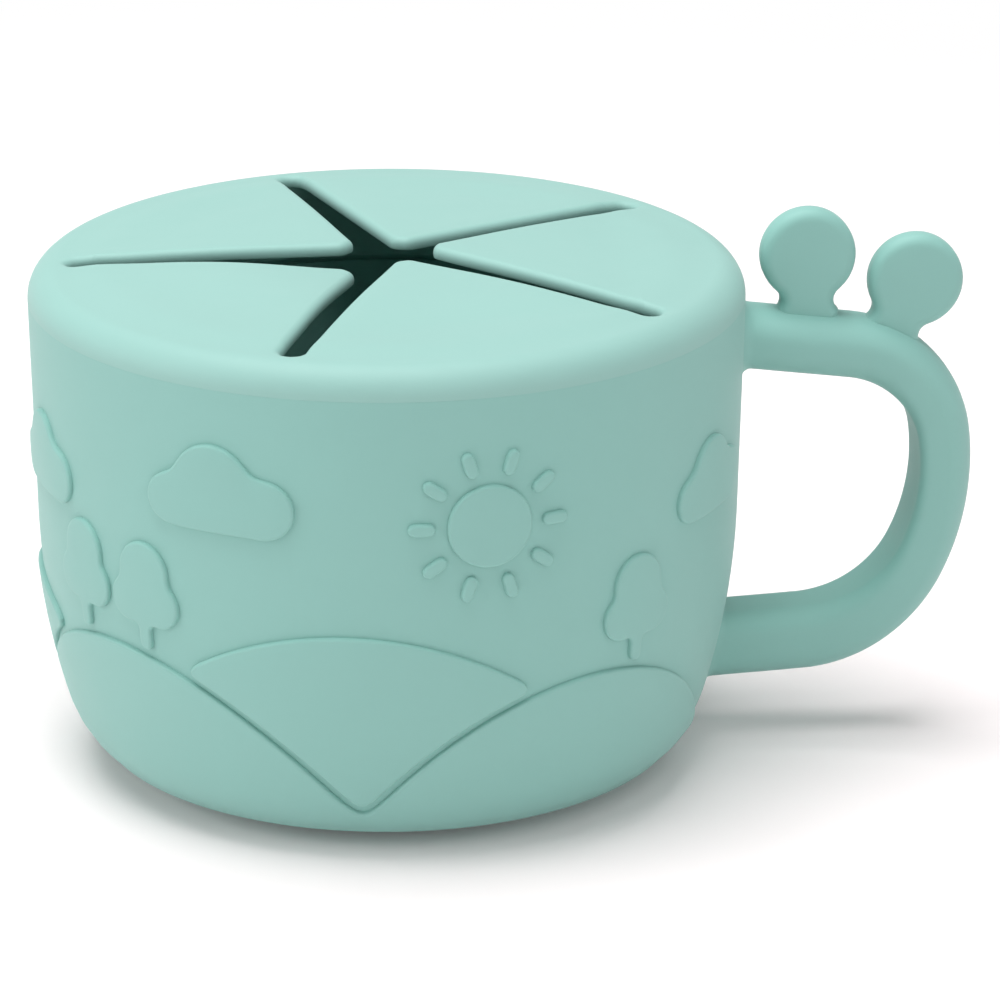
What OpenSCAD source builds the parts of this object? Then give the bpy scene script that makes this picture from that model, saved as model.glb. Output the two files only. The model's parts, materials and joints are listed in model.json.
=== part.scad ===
// Toddler snack cup of soft silicone: a wide round-bottomed cup with a loop handle, and a plug-in lid
// whose top is cut into five flaps that a small hand pushes through.
// Origin: cup axis, at the table. +Z up, handle along +X.

/* [Cup] */
// Outer diameter of the cup at its rim
rim_d = 90; // [80:1:110]
// Height of the closed cup, from the table to the lid's flat middle
total_h = 65; // [58:0.5:80]
// Thickness of the cup's wall and floor
wall_t = 2.8; // [2.4:0.1:3.6]
// Outward lean of the upper wall, in degrees
wall_lean = 1.1; // [0:0.1:2]
// Radius of the long curve of the belly
belly_r = 92; // [80:1:110]
// Radius of the curve from the belly into the flat foot
foot_r = 13.2; // [8:0.1:16]
// Turn of the foot's curve, in degrees
foot_turn = 74; // [70:1:80]

/* [Lid] */
// Rounding of the lid's top edge, which is also the height of its rim
lid_edge_r = 3.8; // [2.4:0.1:5]
// Height of the lid's flat middle above the rounding of its edge
crown_h = 0.5; // [0.2:0.1:1]
// Width of the gentle slope from that rounding up to the flat middle
crown_slope = 6; // [3:0.5:8]
// Thickness of the flaps, and of the lid at its rounding
flap_t = 1.6; // [1.4:0.1:2.2]
// Depth of the plug below the lid's rim
plug_h = 8; // [5:0.5:14]
// Thickness of the plug's wall
plug_t = 1.7; // [1.2:0.1:2.2]
// Wall left outside the widened mouth that the plug sits in
seat_wall = 2.4; // [2:0.1:2.4]
// Height of each sealing bead above the plug's wall
bead_h = 0.3; // [0.2:0.05:0.4]
// Number of sealing beads
bead_count = 2; // [1:1:3]
// Radial clearance between the beads and the cup's mouth
seal_gap = 0.05; // [0.02:0.01:0.1]

/* [Star of flaps] */
// Turn of the star's first slit from the handle, in degrees
star_turn = 32.6; // [0:0.1:72]
// Width of uncut lid between a slit's round end and the lid's outer edge
slit_margin = 5; // [4.6:0.1:9]
// Width of a slit at its outer end
slit_w = 2.9; // [1.6:0.1:3.4]
// Width of a slit next to the flap tips
slit_inner_w = 5; // [2:0.1:5.6]
// Distance from the lid's axis to the flat tip of a flap
tip_reach = 5.8; // [5:0.1:10]
// Rounding of the flap tips' corners
tip_r = 1.6; // [0.5:0.1:2]
// Gap between a flap's rounded root and the lid around it
hinge_gap = 0.08; // [0.05:0.01:0.1]
// Rise of the first flap's tip, counted anticlockwise from the first slit
tip_rise_1 = 0.6; // [-2:0.1:3]
// Rise of the second flap's tip
tip_rise_2 = 0.8; // [-2:0.1:3]
// Rise of the third flap's tip
tip_rise_3 = -0.7; // [-2:0.1:3]
// Rise of the fourth flap's tip
tip_rise_4 = 1.3; // [-2:0.1:3]
// Rise of the fifth flap's tip
tip_rise_5 = 1.4; // [-2:0.1:3]

/* [Handle] */
// Room for fingers, from the rim's radius to the outer bar
finger_room = 23; // [20.2:0.2:32]
// Drop from the cup's rim to the top bar's middle, at the rim's radius
handle_drop = 7.2; // [6:0.2:10]
// Height of the bottom bar's middle above the table, at the rim's radius
handle_low_z = 12; // [10:0.2:16]
// Width of the bar, across the handle
bar_w = 10; // [8:0.2:14]
// Thickness of the top bar, seen from the side
bar_t = 7.7; // [6.6:0.1:9.4]
// Thickness of the outer bar, seen from the side
outer_bar_t = 7.1; // [6.6:0.1:9.4]
// Thickness of the bottom bar, seen from the side
low_bar_t = 9.1; // [6.6:0.1:9.6]
// Rounding of the bar's long edges
bar_edge_r = 3; // [1:0.1:3]
// Fall of the top bar away from the cup, in degrees
top_fall = 7; // [0:1:10]
// Fall of the bottom bar towards the cup, in degrees
low_fall = 3; // [0:1:8]
// Bend radius of the upper corner, at the bar's middle
upper_bend_r = 14; // [10:0.5:15]
// Bend radius of the lower corner, at the bar's middle
lower_bend_r = 18; // [10:0.5:19]

/* [Knobs on the handle] */
// Diameter of a knob's disc
knob_d = 12.2; // [9:0.1:13]
// Thickness of a knob
knob_t = 4; // [3:0.1:4]
// Rounding of a knob's edges
knob_edge_r = 1.3; // [0.5:0.1:1.4]
// Width of a knob's neck
neck_w = 6.8; // [4:0.1:8]
// Gap between the two discs, measured level
knob_gap = 1.7; // [0.5:0.1:3]
// Height of the inner knob's centre above the bar
inner_knob_rise = 7.4; // [6.2:0.1:9]
// Height of the outer knob's centre above the bar
outer_knob_rise = 6.4; // [5.4:0.1:9]
// Outward tilt of the outer knob, in degrees
outer_knob_tilt = 24; // [20:1:32]

/* [Raised picture on the wall] */
// Height of the raised picture above the wall
relief_h = 0.65; // [0.4:0.05:1]
// Gap that parts one raised shape from the one in front of it
relief_gap = 0.9; // [0.6:0.1:1.5]
// Height at which the picture ends, above the table
relief_low_z = 3; // [2:0.2:6]
// Radius of a front hill
front_hill_r = 27.5; // [22:0.5:30]
// Height of a front hill's top
front_hill_top = 24; // [18:0.5:28]
// Radius of a back hill
back_hill_r = 33; // [26:0.5:36]
// Height of a back hill's top
back_hill_top = 31; // [24:0.5:34]
// Radius of the sun's disc
sun_r = 5.2; // [4:0.1:6]
// Drop from the cup's rim to the sun's centre
sun_drop = 16; // [14:0.5:20]
// Radius of a cloud's largest puff
cloud_r = 5.4; // [4:0.1:6]
// Drop from the cup's rim to the highest clouds' middle
cloud_drop = 14; // [11:0.5:18]
// Height of a tree
tree_h = 15; // [10:0.5:18]

/* [Hidden] */

$fn = 96;
cut = 1;                                    // how far a cutting shape runs past what it cuts
wall_colour = [0.60, 0.80, 0.77];
relief_colour = [0.63, 0.83, 0.80];
lid_colour = [0.71, 0.88, 0.85];

// Cup outline: a flat foot, the foot's curve, the belly's long curve and a straight, leaning wall
rim_r = rim_d / 2;
seam_z = total_h - crown_h - lid_edge_r;
wall_turn = 90 - wall_lean;
foot_top_z = foot_r * (1 - cos(foot_turn));
belly_top_z = foot_top_z + belly_r * (cos(foot_turn) - cos(wall_turn));
foot_flat_r = rim_r - (seam_z - belly_top_z) * tan(wall_lean)
    - belly_r * (sin(wall_turn) - sin(foot_turn)) - foot_r * sin(foot_turn);
arc_steps = 10;

// Lid: the plug's beads fill the widened mouth of the cup, less their clearance
seat_r = rim_r - seat_wall;
seat_depth = plug_h + 1;
plug_r = seat_r - seal_gap - bead_h;
plug_bore_r = plug_r - plug_t;
bead_r = 0.6;

// Flaps: each swings about a chord between two slit ends, on a root rounded to half its thickness
flap_count = 5;
flap_angle = 360 / flap_count;
half_angle = flap_angle / 2;
slit_end_r = slit_w / 2;
slit_reach = rim_r - slit_margin;
hinge_x = (slit_reach - slit_end_r - slit_end_r / 2 - flap_t / 2) * cos(half_angle);
hinge_z = total_h - flap_t / 2;
window_x = hinge_x + flap_t / 2 + hinge_gap;
tip_rises = [tip_rise_1, tip_rise_2, tip_rise_3, tip_rise_4, tip_rise_5];
corner_share = 0.9;                         // most of a tip's width that its two rounded corners may take

// Handle centreline: top bar, upper bend, outer bar's long bend, lower bend and bottom bar
outer_start = 82;                           // headings, in degrees below level, where the bends meet
outer_end = 115;
low_end = 180 - low_fall;
bend_step = 8;
bar_in_x = rim_r - foot_r;                  // the bars start inside the cup and are cut flush with it
handle_top_z = seam_z - handle_drop;
handle_reach = rim_r + finger_room + outer_bar_t / 2;
bar_run = handle_reach - rim_r;
outer_bend_r = (handle_top_z - handle_low_z
        - (bar_run - upper_bend_r * (sin(outer_start) - sin(top_fall))) * tan(top_fall)
        - (bar_run - lower_bend_r * (sin(outer_end) - sin(low_end))) * tan(low_fall)
        - upper_bend_r * (cos(top_fall) - cos(outer_start))
        - lower_bend_r * (cos(outer_end) - cos(low_end)))
    / (cos(outer_start) - cos(outer_end) - (1 - sin(outer_start)) * tan(top_fall)
        - (1 - sin(outer_end)) * tan(low_fall));
outer_c = [handle_reach - outer_bend_r, handle_top_z
    - (bar_run - upper_bend_r * (sin(outer_start) - sin(top_fall))
        - outer_bend_r * (1 - sin(outer_start))) * tan(top_fall)
    - upper_bend_r * (cos(top_fall) - cos(outer_start)) - outer_bend_r * cos(outer_start)];
upper_c = outer_c + (outer_bend_r - upper_bend_r) * [sin(outer_start), cos(outer_start)];
lower_c = outer_c + (outer_bend_r - lower_bend_r) * [sin(outer_end), cos(outer_end)];
upper_start = upper_c + upper_bend_r * [sin(top_fall), cos(top_fall)];
lower_stop = lower_c + lower_bend_r * [sin(low_end), cos(low_end)];
bar_path = concat(
    [[[bar_in_x, upper_start[1] + (upper_start[0] - bar_in_x) * tan(top_fall)], top_fall]],
    bend_path(upper_c, upper_bend_r, top_fall, outer_start, 0),
    bend_path(outer_c, outer_bend_r, outer_start, outer_end, 1),
    bend_path(lower_c, lower_bend_r, outer_end, low_end, 1),
    [[[bar_in_x, lower_stop[1] - (lower_stop[0] - bar_in_x) * tan(low_fall)], low_end]]);

// Knobs: the outer one stands on the upper bend, and the inner one beside it on the top bar
outer_knob = on_bend(upper_c, upper_bend_r + bar_t / 2 + outer_knob_rise, outer_knob_tilt);
inner_knob_x = outer_knob[0] - knob_d - knob_gap;
inner_knob_z = upper_start[1] + (upper_start[0] - inner_knob_x) * tan(top_fall)
    + bar_t / 2 / cos(top_fall) + inner_knob_rise;

// Raised picture, with each direction in degrees from the handle
front_hills = [for (hill = [[-60, 0.96], [-143, 1.04], [62, 0.98], [141, 1]])
    [hill[0], front_hill_r * hill[1], front_hill_top * hill[1]]];
back_hills = [for (hill = [[-101, 1], [101, 0.97], [180, 0.85]])
    [hill[0], back_hill_r * hill[1], back_hill_top * hill[1]]];
// [direction, drop as a multiple of cloud_drop, size] of each cloud
clouds = [[-121, 1, 1], [-31, 1.35, 0.9], [-165, 1.25, 0.9], [121, 1.05, 1], [35, 1.3, 0.9]];
// [number of the front hill that it stands on, degrees to the side of the hill's top] of each tree
trees = [[0, 8], [1, -8], [1, 7], [2, -8], [2, 6], [3, -3]];
suns = [-79, 88];
sun_rays = 10;

// A point at heading t (degrees below level) on a bend of the handle
function on_bend(c, r, t) = c + r * [sin(t), cos(t)];

// Points and headings along a bend, leaving out the first few
function bend_path(c, r, from, to, first) = let(steps = ceil((to - from) / bend_step))
    [for (i = [first:steps]) let(t = from + (to - from) * i / steps) [on_bend(c, r, t), t]];

// Thickness of the bar where it runs at heading t
function bar_thickness(t) = let(level_t = t < 90 ? bar_t : low_bar_t)
    level_t + (outer_bar_t - level_t) * pow(sin(t), 2);

// Points of a rectangle's outline with its corners rounded to r
function round_rect_points(w, h, r, steps) = [for (corner = [[1, 1], [-1, 1], [-1, -1], [1, -1]],
    i = [0:steps])
    let(t = 90 * i / steps + (corner[1] > 0 ? (corner[0] > 0 ? 0 : 90) : (corner[0] < 0 ? 180 : 270)))
    [corner[0] * (w / 2 - r) + r * cos(t), corner[1] * (h / 2 - r) + r * sin(t)]];

// Points of the cup's outer line, moved outwards by d, from the foot up to height seam_z
function outer_line(d) = let(
    belly_x = foot_flat_r + (foot_r - belly_r) * sin(foot_turn),
    belly_z = foot_r + (belly_r - foot_r) * cos(foot_turn))
    concat(
        [for (i = [0:arc_steps]) let(t = foot_turn * i / arc_steps)
            [foot_flat_r + (foot_r + d) * sin(t), foot_r - (foot_r + d) * cos(t)]],
        [for (i = [1:arc_steps]) let(t = foot_turn + (wall_turn - foot_turn) * i / arc_steps)
            [belly_x + (belly_r + d) * sin(t), belly_z - (belly_r + d) * cos(t)]],
        [[rim_r + d / cos(wall_lean), seam_z]]);

function reversed(list) = [for (i = [len(list) - 1:-1:0]) list[i]];

// A corner of a polygon, rounded to radius r between its neighbours a and b
function round_corner(a, p, b, r) = let(
    u = (a - p) / norm(a - p), v = (b - p) / norm(b - p),
    half = acos(u * v) / 2,
    c = p + (u + v) / norm(u + v) * r / sin(half),
    first = p + u * r / tan(half) - c,
    last = p + v * r / tan(half) - c,
    start = atan2(first[1], first[0]),
    stop = atan2(last[1], last[0]),
    sweep = (stop - start + 540) % 360 - 180)
    [for (i = [0:6]) c + r * [cos(start + sweep * i / 6), sin(start + sweep * i / 6)]];

// Rectangle centred on the origin with its corners rounded to r
module rounded_rect(w, h, r) {
    square([w - 2 * r, h], center = true);
    square([w, h - 2 * r], center = true);
    for (x = [-1, 1], y = [-1, 1])
        translate([x * (w / 2 - r), y * (h / 2 - r)]) circle(r);
}

// Bar with round ends from the origin along +X
module rounded_stroke(length, w) {
    translate([0, -w / 2]) square([length, w]);
    circle(w / 2);
    translate([length, 0]) circle(w / 2);
}

// Everything inside the cup's outer surface
module cup_solid() {
    rotate_extrude() polygon(concat([[0, 0]], outer_line(0), [[0, seam_z]]));
}

module cup_shell() {
    color(wall_colour) difference() {
        cup_solid();
        rotate_extrude() polygon(concat([[0, wall_t]], outer_line(-wall_t),
            [[rim_r - wall_t, seam_z + cut], [0, seam_z + cut]]));
        translate([0, 0, seam_z - seat_depth]) cylinder(h = seat_depth + cut, r = seat_r);
    }
}

// The handle's bar, swept along its centreline and running on into the cup
module handle_bars() {
    corner_steps = 5;
    rings = [for (stop = bar_path) let(out = [sin(stop[1]), cos(stop[1])])
        [for (p = round_rect_points(bar_thickness(stop[1]), bar_w, bar_edge_r, corner_steps))
            [stop[0][0] + out[0] * p[0], p[1], stop[0][1] + out[1] * p[0]]]];
    n = len(rings[0]);
    last = len(rings) - 1;
    polyhedron([for (ring = rings) each ring], concat(
        [[for (j = [n - 1:-1:0]) j]],
        [for (i = [0:last - 1], j = [0:n - 1]) let(k = (j + 1) % n)
            [i * n + j, i * n + k, (i + 1) * n + k, (i + 1) * n + j]],
        [[for (j = [0:n - 1]) last * n + j]]));
}

module handle_loop() {
    color(wall_colour) difference() {
        handle_bars();
        cup_solid();
    }
}

// A knob with its disc centred on the origin and its neck running down by drop
module knob(drop) {
    rotate([90, 0, 0]) rotate_extrude() intersection() {
        rounded_rect(knob_d, knob_t, knob_edge_r);
        translate([0, -knob_t]) square([knob_d, 2 * knob_t]);
    }
    translate([0, 0, -drop]) linear_extrude(drop) rounded_rect(neck_w, knob_t, knob_edge_r);
}

module handle_knob_inner() {
    color(wall_colour) difference() {
        translate([inner_knob_x, 0, inner_knob_z]) knob(inner_knob_rise + bar_t / 2);
        handle_bars();
    }
}

module handle_knob_outer() {
    color(wall_colour) difference() {
        translate([outer_knob[0], 0, outer_knob[1]]) rotate([0, outer_knob_tilt, 0])
            knob(outer_knob_rise + bar_t / 2);
        handle_bars();
    }
}

// A flat shape pressed onto the wall in direction az: its X runs around the cup, its Y is the height
module on_wall(az) {
    intersection() {
        rotate_extrude() intersection() {
            polygon(concat(outer_line(relief_h), reversed(outer_line(0))));
            translate([0, relief_low_z]) square([rim_d, seam_z]);
        }
        rotate([90, 0, 90 + az]) linear_extrude(rim_d) children();
    }
}

module hill_shape(hill, grow = 0) {
    translate([0, hill[2] - hill[1]]) circle(hill[1] + grow);
}

// Cuts the shape of each hill, with its gap, out of what stands behind it
module behind(hills) {
    difference() {
        children();
        for (hill = hills)
            rotate([90, 0, 90 + hill[0]]) linear_extrude(rim_d)
                hill_shape(hill, relief_gap);
    }
}

module relief_hills() {
    color(relief_colour) {
        for (hill = front_hills) on_wall(hill[0]) hill_shape(hill);
        for (hill = back_hills) behind(front_hills) on_wall(hill[0]) hill_shape(hill);
    }
}

module relief_sun() {
    ray_w = sun_r * 0.3;
    color(relief_colour) for (az = suns) on_wall(az) translate([0, seam_z - sun_drop]) {
        circle(sun_r);
        for (i = [0:sun_rays - 1])
            rotate(i * 360 / sun_rays) translate([sun_r * 1.4, 0]) rounded_stroke(sun_r * 0.35, ray_w);
    }
}

module cloud_shape(s) {
    r = cloud_r * s;
    translate([-r * 0.2, r * 0.35]) circle(r);
    translate([r * 1.05, -r * 0.05]) circle(r * 0.72);
    translate([-r * 1.3, -r * 0.1]) circle(r * 0.62);
    translate([-r * 1.3, -r * 0.72]) square([r * 2.35, r * 0.8]);
}

module relief_clouds() {
    color(relief_colour) for (cloud = clouds)
        on_wall(cloud[0]) translate([0, seam_z - cloud_drop * cloud[1]]) cloud_shape(cloud[2]);
}

// A leafy tree with a crown of three puffs, standing on the origin
module tree_shape() {
    translate([0, tree_h * 0.74]) circle(tree_h * 0.26);
    for (side = [-1, 1])
        translate([side * tree_h * 0.16, tree_h * 0.48]) circle(tree_h * 0.2);
    translate([-tree_h * 0.06, -tree_h * 0.2]) square([tree_h * 0.12, tree_h * 0.6]);
}

module relief_trees() {
    color(relief_colour) behind(concat(front_hills, back_hills))
        for (tree = trees) let(hill = front_hills[tree[0]], x = rim_r * sin(tree[1]))
            on_wall(hill[0] + tree[1]) translate([0, hill[2] - hill[1] + sqrt(pow(hill[1], 2) - x * x)])
                tree_shape();
}

// The opening that the flaps fill, with the round ends of the slits
module star_window() {
    rotate(star_turn) {
        circle(r = window_x / cos(half_angle), $fn = flap_count);
        for (i = [0:flap_count - 1])
            rotate(i * flap_angle) rounded_stroke(slit_reach - slit_end_r, slit_w);
    }
}

module lid_ring() {
    under_z = total_h - crown_h - flap_t;
    flat_r = rim_r - lid_edge_r;
    color(lid_colour) difference() {
        rotate_extrude() polygon(concat(
            [[0, under_z], [plug_bore_r, under_z], [plug_bore_r, seam_z]],
            [for (i = [0:arc_steps]) let(t = 90 * i / arc_steps)
                [flat_r + lid_edge_r * cos(t), seam_z + lid_edge_r * sin(t)]],
            [[flat_r - crown_slope, total_h], [0, total_h]]));
        translate([0, 0, seam_z]) linear_extrude(total_h - seam_z + cut) star_window();
    }
}

module lid_plug() {
    color(lid_colour) difference() {
        union() {
            translate([0, 0, seam_z - plug_h]) cylinder(h = plug_h, r = plug_r);
            for (i = [1:bead_count])
                translate([0, 0, seam_z - plug_h * i / (bead_count + 1)])
                    rotate_extrude() translate([plug_r + bead_h - bead_r, 0]) circle(bead_r);
        }
        translate([0, 0, seam_z - plug_h - cut]) cylinder(h = plug_h + 2 * cut, r = plug_bore_r);
    }
}

// Flap number i: a flat tongue that narrows to the lid's axis, tilted about its rounded root
module flap(i) {
    length = hinge_x - tip_reach;
    root_w = hinge_x * tan(half_angle) - slit_w / 2 / cos(half_angle);
    tip_w = tip_reach * tan(half_angle) - slit_inner_w / 2 / cos(half_angle);
    side_turn = atan((root_w - tip_w) / length);
    tip_round = min(tip_r, corner_share * tip_w / tan(45 - side_turn / 2));
    root = [0, root_w];
    rounded_tip = round_corner(root, [-length, tip_w], [-length, -tip_w], tip_round);
    color(lid_colour)
        rotate([0, 0, star_turn + (i - 0.5) * flap_angle]) translate([hinge_x, 0, hinge_z])
            rotate([0, asin(tip_rises[i - 1] / length), 0]) {
                translate([0, 0, -flap_t / 2]) linear_extrude(flap_t) polygon(concat([root], rounded_tip,
                    reversed([for (p = rounded_tip) [p[0], -p[1]]]), [[0, -root_w]]));
                translate([0, root_w, 0]) rotate([90, 0, 0]) cylinder(h = 2 * root_w, r = flap_t / 2);
            }
}

cup_shell();
handle_loop();
handle_knob_inner();
handle_knob_outer();
relief_hills();
relief_sun();
relief_clouds();
relief_trees();
lid_ring();
lid_plug();
flap(1);  // flap_1
flap(2);  // flap_2
flap(3);  // flap_3
flap(4);  // flap_4
flap(5);  // flap_5
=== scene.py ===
"""Looks of a toddler's snack cup of soft silicone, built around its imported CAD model.

Lengths are in millimetres, and turn into metres when a mesh is made. The cup's axis is Z, and its handle
points along +X. Angles are in radians, and a turn is an angle around the cup's axis, anticlockwise from the
handle.
"""

import json
from math import acos, asin, atan2, cos, hypot, pi, radians, sin, sqrt, tan

import bpy
import numpy as np
from mathutils import Matrix, Vector, geometry


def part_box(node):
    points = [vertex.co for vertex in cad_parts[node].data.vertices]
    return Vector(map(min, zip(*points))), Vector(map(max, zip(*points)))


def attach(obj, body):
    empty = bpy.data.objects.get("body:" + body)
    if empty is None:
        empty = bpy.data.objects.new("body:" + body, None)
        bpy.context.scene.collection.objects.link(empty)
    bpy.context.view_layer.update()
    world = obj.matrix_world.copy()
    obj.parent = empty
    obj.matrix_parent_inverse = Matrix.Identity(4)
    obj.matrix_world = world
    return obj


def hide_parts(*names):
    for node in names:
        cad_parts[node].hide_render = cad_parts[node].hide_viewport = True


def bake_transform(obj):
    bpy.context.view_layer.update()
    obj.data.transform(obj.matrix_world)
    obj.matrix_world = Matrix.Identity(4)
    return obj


MM = 0.001
SAME_POINT = 1e-6
SHARP_ANGLE = radians(38)
TURN_STEPS = 240

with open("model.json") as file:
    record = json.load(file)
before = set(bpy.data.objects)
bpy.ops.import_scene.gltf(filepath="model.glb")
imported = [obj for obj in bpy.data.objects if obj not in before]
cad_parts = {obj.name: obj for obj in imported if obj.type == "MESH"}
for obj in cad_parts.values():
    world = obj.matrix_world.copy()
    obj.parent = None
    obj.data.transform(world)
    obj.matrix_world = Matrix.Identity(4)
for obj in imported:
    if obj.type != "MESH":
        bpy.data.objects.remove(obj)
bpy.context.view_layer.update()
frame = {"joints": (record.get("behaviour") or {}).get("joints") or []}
joints = {joint["child"]: joint for joint in frame["joints"]}


def top_of(node):
    """Highest X and Z of a CAD node."""
    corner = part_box(node)[1] / MM
    return round(corner.x, 2), round(corner.z, 2)


# Cup
RIM_R, TOTAL_H = top_of("lid_ring")
SEAM_Z = top_of("cup_shell")[1]
WALL_T = 2.8
WALL_TURN = radians(90 - 1.1)
BELLY_R = 92
FOOT_R = 13.2
FOOT_TURN = radians(74)
SEAM_EDGE_R = 0.04
MOUTH_EDGE_R = 0.5
LEDGE_R = 0.25
LEDGE_EDGE_R = 0.1
FOOT_TOP_Z = FOOT_R * (1 - cos(FOOT_TURN))
BELLY_TOP_Z = FOOT_TOP_Z + BELLY_R * (cos(FOOT_TURN) - cos(WALL_TURN))
FOOT_FLAT_R = (
    RIM_R
    - (SEAM_Z - BELLY_TOP_Z) / tan(WALL_TURN)
    - BELLY_R * (sin(WALL_TURN) - sin(FOOT_TURN))
    - FOOT_R * sin(FOOT_TURN)
)
BELLY_X = FOOT_FLAT_R + (FOOT_R - BELLY_R) * sin(FOOT_TURN)
BELLY_Z = FOOT_R + (BELLY_R - FOOT_R) * cos(FOOT_TURN)

# Lid
CROWN_H = 0.5
CROWN_SLOPE = 6
LID_EDGE_R = TOTAL_H - CROWN_H - SEAM_Z
FLAP_T = 1.6
PLUG_H = 8
PLUG_T = 1.7
PLUG_EDGE_R = 0.7
BEAD_H = 0.3
BEAD_R = 0.6
BEAD_COUNT = 2
SEAT_WALL = 2.4
SEAT_SPARE = 1
SEAL_GAP = 0.05
PLUG_SUNK = 0.2
SEAT_R = RIM_R - SEAT_WALL
PLUG_R = SEAT_R - SEAL_GAP - BEAD_H
PLUG_BORE_R = PLUG_R - PLUG_T

# Star of slits, whose directions and hinges come from the CAD joints
FLAPS = ["flap_one", "flap_two", "flap_three", "flap_four", "flap_five"]
TIP_RISES = [0.6, 0.8, -0.7, 1.3, 1.4]
BOWS = [0, 0.15, 0.6, 0.35, 0.15]
HALF_ANGLE = pi / len(FLAPS)
HINGE_X = hypot(*joints[FLAPS[0]]["pos_m"][:2]) / MM
HINGE_Z = joints[FLAPS[0]]["pos_m"][2] / MM
HINGE_GAP = 0.08
CHORD_X = HINGE_X + FLAP_T / 2 + HINGE_GAP
BEND_LENGTH = 5
SLIT_W = 2.9
SLIT_INNER_W = 5
SLIT_MARGIN = 5
SLIT_END_X = RIM_R - SLIT_MARGIN - SLIT_W / 2
TIP_REACH = 5.8
TIP_R = 1.6
SLIT_EDGE_R = 1
SLIT_UNDER_R = 0.25

# Handle
FINGER_ROOM = 23
HANDLE_DROP = 7.2
HANDLE_LOW_Z = 12
BAR_W = 10
TOP_BAR_T = 7.7
OUTER_BAR_T = 7.1
LOW_BAR_T = 9.1
HANDLE_REACH = RIM_R + FINGER_ROOM + OUTER_BAR_T / 2
HANDLE_TOP_Z = SEAM_Z - HANDLE_DROP
BAR_EDGE = np.array([3.5, 4.5])
INNER_EDGE_R = 2.8
OUTER_INNER_EDGE_R = 1.3
UPPER_BEND_R = 14
LOWER_BEND_R = 18
TOP_FALL = radians(7)
OUTER_START = radians(82)
OUTER_END = radians(115)
LOW_END = radians(180 - 3)
BEND_STEP = 0.9
ROOT_FILLET_R = 1.4
ROOT_SUNK = 0.5
ROOT_STEPS = [3, 5, 7.5, 10]

# Knobs on the handle
KNOB_D = 12.2
KNOB_T = 4
KNOB_EDGE_R = 1.5
NECK_W = 6.8
NECK_FILLET_R = 1.7
NECK_FLARE = radians(50)
KNOB_GAP = 1.7
INNER_KNOB_RISE = 7.4
OUTER_KNOB_RISE = 6.4
OUTER_KNOB_TILT = radians(24)

# Raised picture
RELIEF_H = 0.65
RELIEF_EDGE_R = 0.4
RELIEF_SUNK = 0.15
RELIEF_GAP = 0.9
RELIEF_LOW_Z = 3

# Hills, as (degrees round the cup, size)
FRONT_HILL_R = 27.5
FRONT_HILL_TOP_Z = 24
FRONT_HILL_PLACES = [(-60, 0.96), (-143, 1.04), (62, 0.98), (141, 1)]
BACK_HILL_R = 33
BACK_HILL_TOP_Z = 31
BACK_HILL_PLACES = [(-101, 1), (101, 0.97), (180, 0.85)]
FRONT_HILLS = [(radians(at), FRONT_HILL_R * s, FRONT_HILL_TOP_Z * s) for at, s in FRONT_HILL_PLACES]
BACK_HILLS = [(radians(at), BACK_HILL_R * s, BACK_HILL_TOP_Z * s) for at, s in BACK_HILL_PLACES]

# Suns, whose rays are given in radii of the sun
SUNS = [radians(-79), radians(88)]
SUN_R = 5.2
SUN_Z = SEAM_Z - 16
SUN_RAYS = 10
RAY_W = 0.3
RAY_START = 1.4
RAY_END = 1.75

# Clouds, as (degrees round the cup, drop, size), with puffs (x, z, radius) and a base in radii of the cloud
CLOUDS = [(-121, 1, 1), (-31, 1.35, 0.9), (-165, 1.25, 0.9), (121, 1.05, 1), (35, 1.3, 0.9)]
CLOUD_R = 5.4
CLOUD_DROP = 14
PUFFS = [(-0.2, 0.35, 1), (1.05, -0.05, 0.72), (-1.3, -0.1, 0.62)]
CLOUD_BASE = np.array([(-1.3, -0.72), (1.05, -0.72), (1.05, 0.08), (-1.3, 0.08)])

# Trees, as (number of the front hill, degrees from its top), with a trunk and leaves in heights of the tree
TREES = [(0, 8), (1, -8), (1, 7), (2, -8), (2, 6), (3, -3)]
TREE_H = 15
TRUNK = np.array([(-0.06, -0.2), (0.06, -0.2), (0.06, 0.4), (-0.06, 0.4)])
LEAVES = [(0, 0.74, 0.26), (-0.16, 0.48, 0.2), (0.16, 0.48, 0.2)]

# Looks. Lamps are given as (name, place in metres, size in metres, power in watts)
CUP_COLOUR = (0.235, 0.47, 0.425)
# The lid's colour is a paler, less saturated copy of the cup's silicone colour: painted sheen standing for
# the whitish light off its lit top
LID_COLOUR_WITH_PAINTED_SHEEN = (0.266, 0.479, 0.437)
FLOOR_COLOUR = (0.99, 0.92, 0.925)
AMBIENT = 0.22
LAMPS = [
    ("overhead_lamp", (-0.1, 0.05, 0.9), 0.7, 8.8),
    ("left_lamp", (-0.8, -0.15, 0.35), 0.6, 2.8),
    ("front_lamp", (0.25, -1, 0.1), 0.7, 1.5),
    ("high_front_lamp", (0.2, -0.6, 0.7), 0.5, 1.4),
    ("right_lamp", (0.9, -0.35, 0.2), 0.6, 0.9),
]


# ---- Flat outlines ----


def polar(angles, radius=1.0, centre=(0, 0)):
    """Points at these angles on a circle."""
    angles = np.atleast_1d(angles)
    return np.column_stack([centre[0] + radius * np.cos(angles), centre[1] + radius * np.sin(angles)])


def circle(radius, centre=(0, 0), steps=60):
    """A closed outline, anticlockwise from the right."""
    return polar(np.linspace(0, 2 * pi, steps, endpoint=False), radius, centre)


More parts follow.
